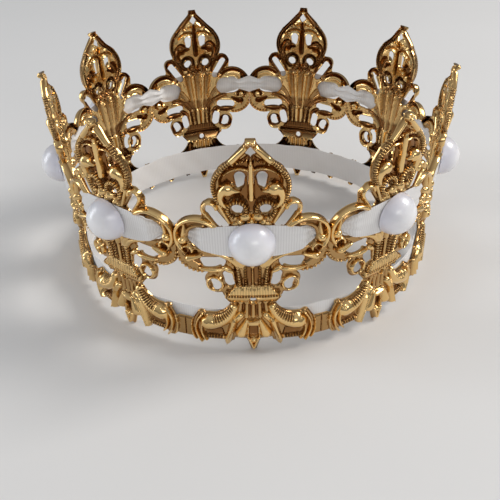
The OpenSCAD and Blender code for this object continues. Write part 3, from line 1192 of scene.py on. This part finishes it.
@dataclass
class Ribbon:
    """What both ribbons share: a closed strip with ribs, swept round the ring.

    Attributes:
        ring: the ring.
        piece, node: names of the strip and of the CAD node that it stands for.
        width, thick: the ribbon's stock size, in millimetres.
        rib_pitch, rib_depth: distance between two ribs, and their depth.
        rib_shade: how dark the painted shade in the valleys between ribs is, from 0 to 1.
        rows: rows of faces across the ribbon.
        edge_from, edge_thin: where the woven edge starts, and the share of thickness it lacks.
        sharp: angle in degrees past which edges stay sharp.
        length_steps: steps round the ring in which its length is measured.
        weld_m: distance in metres within which the rolled grid's edges are joined.
    """

    ring: Ring
    piece: str = ""
    node: str = ""
    width: float = 10.0
    thick: float = 0.4
    rib_pitch: float = 0.7
    rib_depth: float = 0.07
    rib_shade: float = 0.75
    rows: int = 9
    edge_from: float = 0.9
    edge_thin: float = 0.6
    sharp: float = 60.0
    length_steps: int = 3600
    weld_m: float = 1e-7

    def section(self, angle: np.ndarray, place: np.ndarray) -> tuple[np.ndarray, ...]:
        """Radius of the strip's middle and height, at angles and places from -1 to 1 across it."""
        raise NotImplementedError

    def length(self) -> float:
        """Measures the strip round the ring.

        Returns:
            Its length in millimetres.
        """
        angle = np.linspace(0, 360, self.length_steps + 1)
        radius, z = self.section(angle, np.zeros_like(angle))
        steps = np.diff(self.ring.at(angle, radius, z), axis=0)
        return float(np.linalg.norm(steps, axis=1).sum() / MM)

    def sweep(self) -> bpy.types.Object:
        """Adds the strip: a grid is rolled into a flat tube, bent round the ring and welded.

        Returns:
            The strip.
        """
        turns = 2 * round(self.length() / self.rib_pitch)
        loop = 2 * self.rows + 2
        deselect()
        bpy.ops.mesh.primitive_grid_add(x_subdivisions=turns, y_subdivisions=loop, size=1)
        obj = bpy.context.object
        obj.name = self.piece
        points = get_points(obj.data)
        column = np.rint((points[:, 0] + 0.5) * turns).astype(int)
        row = np.rint((points[:, 1] + 0.5) * loop).astype(int) % loop
        outside = row <= self.rows
        place = np.where(outside, row, loop - 1 - row) / self.rows * 2 - 1
        angle = 360.0 * (column % turns) / turns
        radius, z = self.section(angle, place)
        rib = np.where(column % 2 == 0, 1.0, 0.0)
        woven_edge = np.clip((np.abs(place) - self.edge_from) / (1 - self.edge_from), 0, 1)
        half = self.thick / 2 * (1 - woven_edge * self.edge_thin) + (rib - 0.5) * self.rib_depth
        set_points(obj.data, self.ring.at(angle, np.where(outside, radius + half, radius - half), z))
        # Painted shade: the rib mark darkens the ribbon's colour in the valleys between ribs.
        mark(obj.data, "rib", 1 - self.rib_shade * (1 - rib))
        activate(obj)
        bpy.ops.object.mode_set(mode="EDIT")
        bpy.ops.mesh.select_all(action="SELECT")
        bpy.ops.mesh.remove_doubles(threshold=self.weld_m)
        bpy.ops.mesh.normals_make_consistent(inside=False)
        bpy.ops.object.mode_set(mode="OBJECT")
        smooth(obj, self.sharp)
        return obj

    def build(self, material: bpy.types.Material) -> None:
        """Makes the ribbon and dresses it.

        Args:
            material: the ribbon's finish.
        """
        obj = self.sweep()
        dress(obj, material, self.node)
        flat = (self.width * MM, self.length() * MM)
        self.ring.nodes("plate")


@dataclass
class LiningRibbon(Ribbon):
    """The ribbon that lines the base band.

    Attributes:
        low: height of its lower edge.
        inset: distance of its middle from the plates' inner face.
        edge_waves: size, count round the ring and start of each wave of its upper edge.
        creases: size, count, slant across the ribbon and start of each soft crease.
        twist, twists: how far the ribbon turns about its length, and how often.
    """

    piece: str = "lining_strip"
    node: str = "lining_ribbon"
    rib_depth: float = 0.04
    rib_shade: float = 0.4
    low: float = 3.0
    inset: float = 0.62
    edge_waves: tuple = ((0.14, 7, 0.4), (0.09, 17, 0.0), (0.05, 41, 1.0))
    creases: tuple = ((0.16, 23, 2, 0.0), (0.10, 37, -3, 1.0))
    twist: float = 0.10
    twists: int = 11

    def section(self, angle: np.ndarray, place: np.ndarray) -> tuple[np.ndarray, ...]:
        """Shapes the strip.

        Args:
            angle: angles round the ring, in degrees.
            place: places across the strip, from -1 at its lower edge to 1.

        Returns:
            Radii of the strip's middle and heights.
        """
        turn = np.radians(angle)
        wave = sum(size * np.sin(count * turn + start) for size, count, start in self.edge_waves)
        radius = self.ring.base_r - self.inset - self.twist * place * np.sin(self.twists * turn)
        for size, count, slant, start in self.creases:
            radius = radius + size * np.sin(count * turn + slant * place + start)
        return radius, self.low + (place + 1) / 2 * (self.width + wave)


@dataclass
class WovenRibbon(Ribbon):
    """The ribbon that passes before each plate, through its wings and behind the joints.

    Attributes:
        middle: height of its middle.
        front_a, behind_a: angles off a plate's axis between which it goes from front to back.
        gather_a: angle at which its gathered front would come to a point.
        narrow, joint: its half height in the wings' openings and behind the joints.
        out_front, out_behind: its distance from the plates' inner face.
        pleats, pleat_start, pleat_depth, pleat_power: how it folds where it is drawn together.
    """

    piece: str = "woven_strip"
    node: str = "woven_ribbon"
    middle: float = 37.5
    front_a: float = 12.3
    behind_a: float = 16.2
    gather_a: float = 17.0
    narrow: float = 1.9
    joint: float = 3.2
    out_front: float = 1.36
    out_behind: float = -0.5
    pleats: float = 1.25
    pleat_start: float = 0.4
    pleat_depth: float = 0.95
    pleat_power: float = 1.3

    def half(self, off_axis: np.ndarray) -> np.ndarray:
        """Works out the ribbon's half height.

        Args:
            off_axis: angles off the nearest plate's axis, in degrees.

        Returns:
            Half heights in millimetres.
        """
        near = np.sqrt(np.maximum(1 - (off_axis / self.gather_a) ** 2, 0))
        front = np.maximum(self.narrow, self.width / 2 * near)
        share = np.clip((off_axis - self.behind_a) / (self.ring.pitch / 2 - self.behind_a), 0, 1)
        behind = self.narrow + (self.joint - self.narrow) * share
        return np.where(off_axis < self.behind_a, front, behind)

    def section(self, angle: np.ndarray, place: np.ndarray) -> tuple[np.ndarray, ...]:
        """Shapes the strip.

        Args:
            angle: angles round the ring, in degrees.
            place: places across the strip, from -1 at its lower edge to 1.

        Returns:
            Radii of the strip's middle and heights.
        """
        off_axis = np.abs(angle - self.ring.pitch * np.rint(angle / self.ring.pitch))
        passed = np.clip((off_axis - self.front_a) / (self.behind_a - self.front_a), 0, 1)
        out = self.out_front + (self.out_behind - self.out_front) * (1 - np.cos(np.pi * passed)) / 2
        half = self.half(off_axis)
        gathered = (1 - half / (self.width / 2)) ** self.pleat_power
        fold = np.cos(2 * math.pi * self.pleats * place + self.pleat_start)
        z = self.middle + place * half
        return self.ring.inner_r(z) + out + self.pleat_depth * fold * gathered, z


@dataclass
class HalfPearls:
    """The half pearls, one on the ribbon before each plate.

    Attributes:
        ring: the ring.
        across, high: a pearl's size, in millimetres.
        seat: distance of its flat back from the plate's inner face.
        middle: height of its middle.
        segments, rings: how finely its dome is divided.
        bevel, bevel_steps: size of the rounded edge of its back, and its steps.
        sharp: angle in degrees past which edges are rounded or stay sharp.
        rim_power: how close to its edge the painted rim shade keeps.
    """

    ring: Ring
    across: float = 12.0
    high: float = 6.0
    seat: float = 1.7
    middle: float = 37.5
    segments: int = 56
    rings: int = 36
    bevel: float = 0.25
    bevel_steps: int = 3
    sharp: float = 50.0
    rim_power: float = 3.0

    def master(self) -> bpy.types.Object:
        """Adds one half pearl that looks along +Z from its flat back.

        Returns:
            The half pearl.
        """
        dome = (self.across**2 / 4 + self.high**2) / (2 * self.high)
        cut = (dome - self.high) * MM
        deselect()
        bpy.ops.mesh.primitive_uv_sphere_add(segments=self.segments, ring_count=self.rings, radius=dome * MM)
        obj = bpy.context.object
        bpy.ops.object.mode_set(mode="EDIT")
        bpy.ops.mesh.select_all(action="SELECT")
        bpy.ops.mesh.bisect(plane_co=(0, 0, cut), plane_no=(0, 0, 1), use_fill=True, clear_inner=True)
        bpy.ops.object.mode_set(mode="OBJECT")
        set_points(obj.data, get_points(obj.data) - (0, 0, cut))
        limit = math.radians(self.sharp)
        apply_modifier(obj, "BEVEL", width=self.bevel * MM, segments=self.bevel_steps, angle_limit=limit)
        return obj

    def place(self, plate: int) -> np.ndarray:
        """Works out where a pearl stands.

        Args:
            plate: its plate's place in the ring, from 0 at the front.

        Returns:
            The 4 x 4 matrix that puts it there.
        """
        out = float(self.ring.inner_r(np.array(self.middle))) + self.seat
        return np.array(
            Matrix.Translation((0, self.ring.axis_y * MM, 0))
            @ Matrix.Rotation(math.radians(self.ring.pitch * plate), 4, "Z")
            @ Matrix.Translation((0, -out * MM, self.middle * MM))
            @ Matrix.Rotation(math.radians(90 + self.ring.lean), 4, "X")
        )

    def build(self, material: bpy.types.Material) -> None:
        """Makes the pearls and dresses them.

        Args:
            material: the pearls' finish.
        """
        master = self.master()
        local = get_points(master.data)
        off_middle = np.hypot(local[:, 0], local[:, 1]) * 2 / (self.across * MM)
        # Painted shade: the pearl's rim mark grows towards its edge.
        mark(master.data, "rim", off_middle**self.rim_power)
        for i, node in enumerate(self.ring.nodes("pearl")):
            place = self.place(i)
            points = local @ place[:3, :3].T + place[:3, 3]
            dress(add_copy(master, f"half_pearl_{i + 1}", points, self.sharp), material, node)
        bpy.data.objects.remove(master)


@dataclass(frozen=True)
class Lamp:
    """A soft light, in metres and watts."""

    name: str
    place: tuple
    size: tuple
    power: float
    tone: tuple

    def build(self, target: tuple) -> None:
        """Adds the light.

        Args:
            target: the point that it looks at.
        """
        data = bpy.data.lights.new(self.name, "AREA")
        data.shape = "RECTANGLE"
        data.size, data.size_y = self.size
        data.energy = self.power
        data.color = self.tone
        obj = bpy.data.objects.new(self.name, data)
        bpy.context.collection.objects.link(obj)
        obj.location = self.place
        obj.rotation_euler = (Vector(target) - Vector(self.place)).to_track_quat("-Z", "Y").to_euler()


@dataclass
class Studio:
    """Floor, lights, surroundings and camera.

    Attributes:
        ring: the ring that is looked at.
        distance, elevation, lens, pan, look_z, roll: the camera, in millimetres and degrees.
        sensor, clip_m: its sensor's width, and the nearest and farthest distance seen, in metres.
        floor_m, floor_z: the floor's size and its height, in metres.
        lit: the point that the lamps look at, in metres.
        sky_heights, sky_strengths: how the room grows brighter with height.
        sky_tone: the room's colour.
        lamps: the lamps.
    """

    ring: Ring
    distance: float = 248.93
    elevation: float = 32.739
    lens: float = 50.89
    pan: float = -0.2116
    look_z: float = -2.808
    roll: float = 1.203
    sensor: float = 36.0
    clip_m: tuple = (0.01, 20)
    floor_m: float = 4.0
    floor_z: float = -0.0002
    lit: tuple = (0, 0, 0.03)
    sky_heights: tuple = (-0.1, 0.9)
    sky_strengths: tuple = (0.14, 0.5)
    sky_tone: tuple = (0.93, 0.96, 1.0, 1)
    lamps: tuple = (
        Lamp("key", (0.70, 0.10, 0.70), (0.4, 0.4), 5.0, (1.0, 0.97, 0.93)),
        Lamp("window", (-0.88, 0.05, 0.32), (0.3, 0.7), 2.6, (0.92, 0.96, 1.0)),
        Lamp("front", (0.25, -0.95, 0.55), (0.6, 0.25), 1.6, (1.0, 0.98, 0.96)),
    )

    def floor(self) -> None:
        """Adds the pale floor."""
        deselect()
        bpy.ops.mesh.primitive_plane_add(size=self.floor_m, location=(0, 0, self.floor_z))
        obj = bpy.context.object
        obj.name = "floor"
        bpy.ops.object.transform_apply(location=True)
        obj.data.materials.append(PaleFloor().build())

    def surroundings(self) -> None:
        """Sets a room that is brighter overhead."""
        made = Nodes(bpy.data.worlds.new("room"), "Background")
        split = made.node("ShaderNodeSeparateXYZ")
        made.feed(split.inputs[0], made.node("ShaderNodeTexCoord").outputs["Generated"])
        strength = made.ramp(split.outputs["Z"], self.sky_heights, self.sky_strengths)
        made.surface(Color=self.sky_tone, Strength=strength)
        bpy.context.scene.world = made.owner

    def camera(self) -> None:
        """Sets the camera at the photograph's angle."""
        data = bpy.data.cameras.new("camera")
        data.sensor_width = self.sensor
        data.lens = self.lens
        data.clip_start, data.clip_end = self.clip_m
        obj = bpy.data.objects.new("camera", data)
        bpy.context.collection.objects.link(obj)
        tilt, pan = math.radians(self.elevation), math.radians(self.pan)
        target = Vector((0, self.ring.axis_y, self.look_z)) * MM
        obj.location = target - Vector((0, math.cos(tilt), -math.sin(tilt))) * self.distance * MM
        ahead = Vector((math.sin(pan) * math.cos(tilt), math.cos(pan) * math.cos(tilt), -math.sin(tilt)))
        roll = Matrix.Rotation(math.radians(-self.roll), 3, "Z")
        obj.rotation_euler = (ahead.to_track_quat("-Z", "Y").to_matrix() @ roll).to_euler()
        bpy.context.scene.camera = obj

    def build(self) -> None:
        """Sets the whole studio."""
        self.floor()
        self.surroundings()
        for lamp in self.lamps:
            lamp.build(self.lit)
        self.camera()


def main() -> None:
    """Builds the crown's pieces in order and the studio round them."""
    logging.basicConfig(level=logging.INFO, format="%(message)s")
    ring = Ring()
    ribbon = Grosgrain().build()
    StampedPlates(ring, Die(ring)).build(Gilt().build())
    LiningRibbon(ring).build(ribbon)
    WovenRibbon(ring).build(ribbon)
    HalfPearls(ring).build(Pearl().build())
    Studio(ring).build()
    bpy.context.scene.view_settings.view_transform = "Standard"


if __name__ == "__main__":
    main()
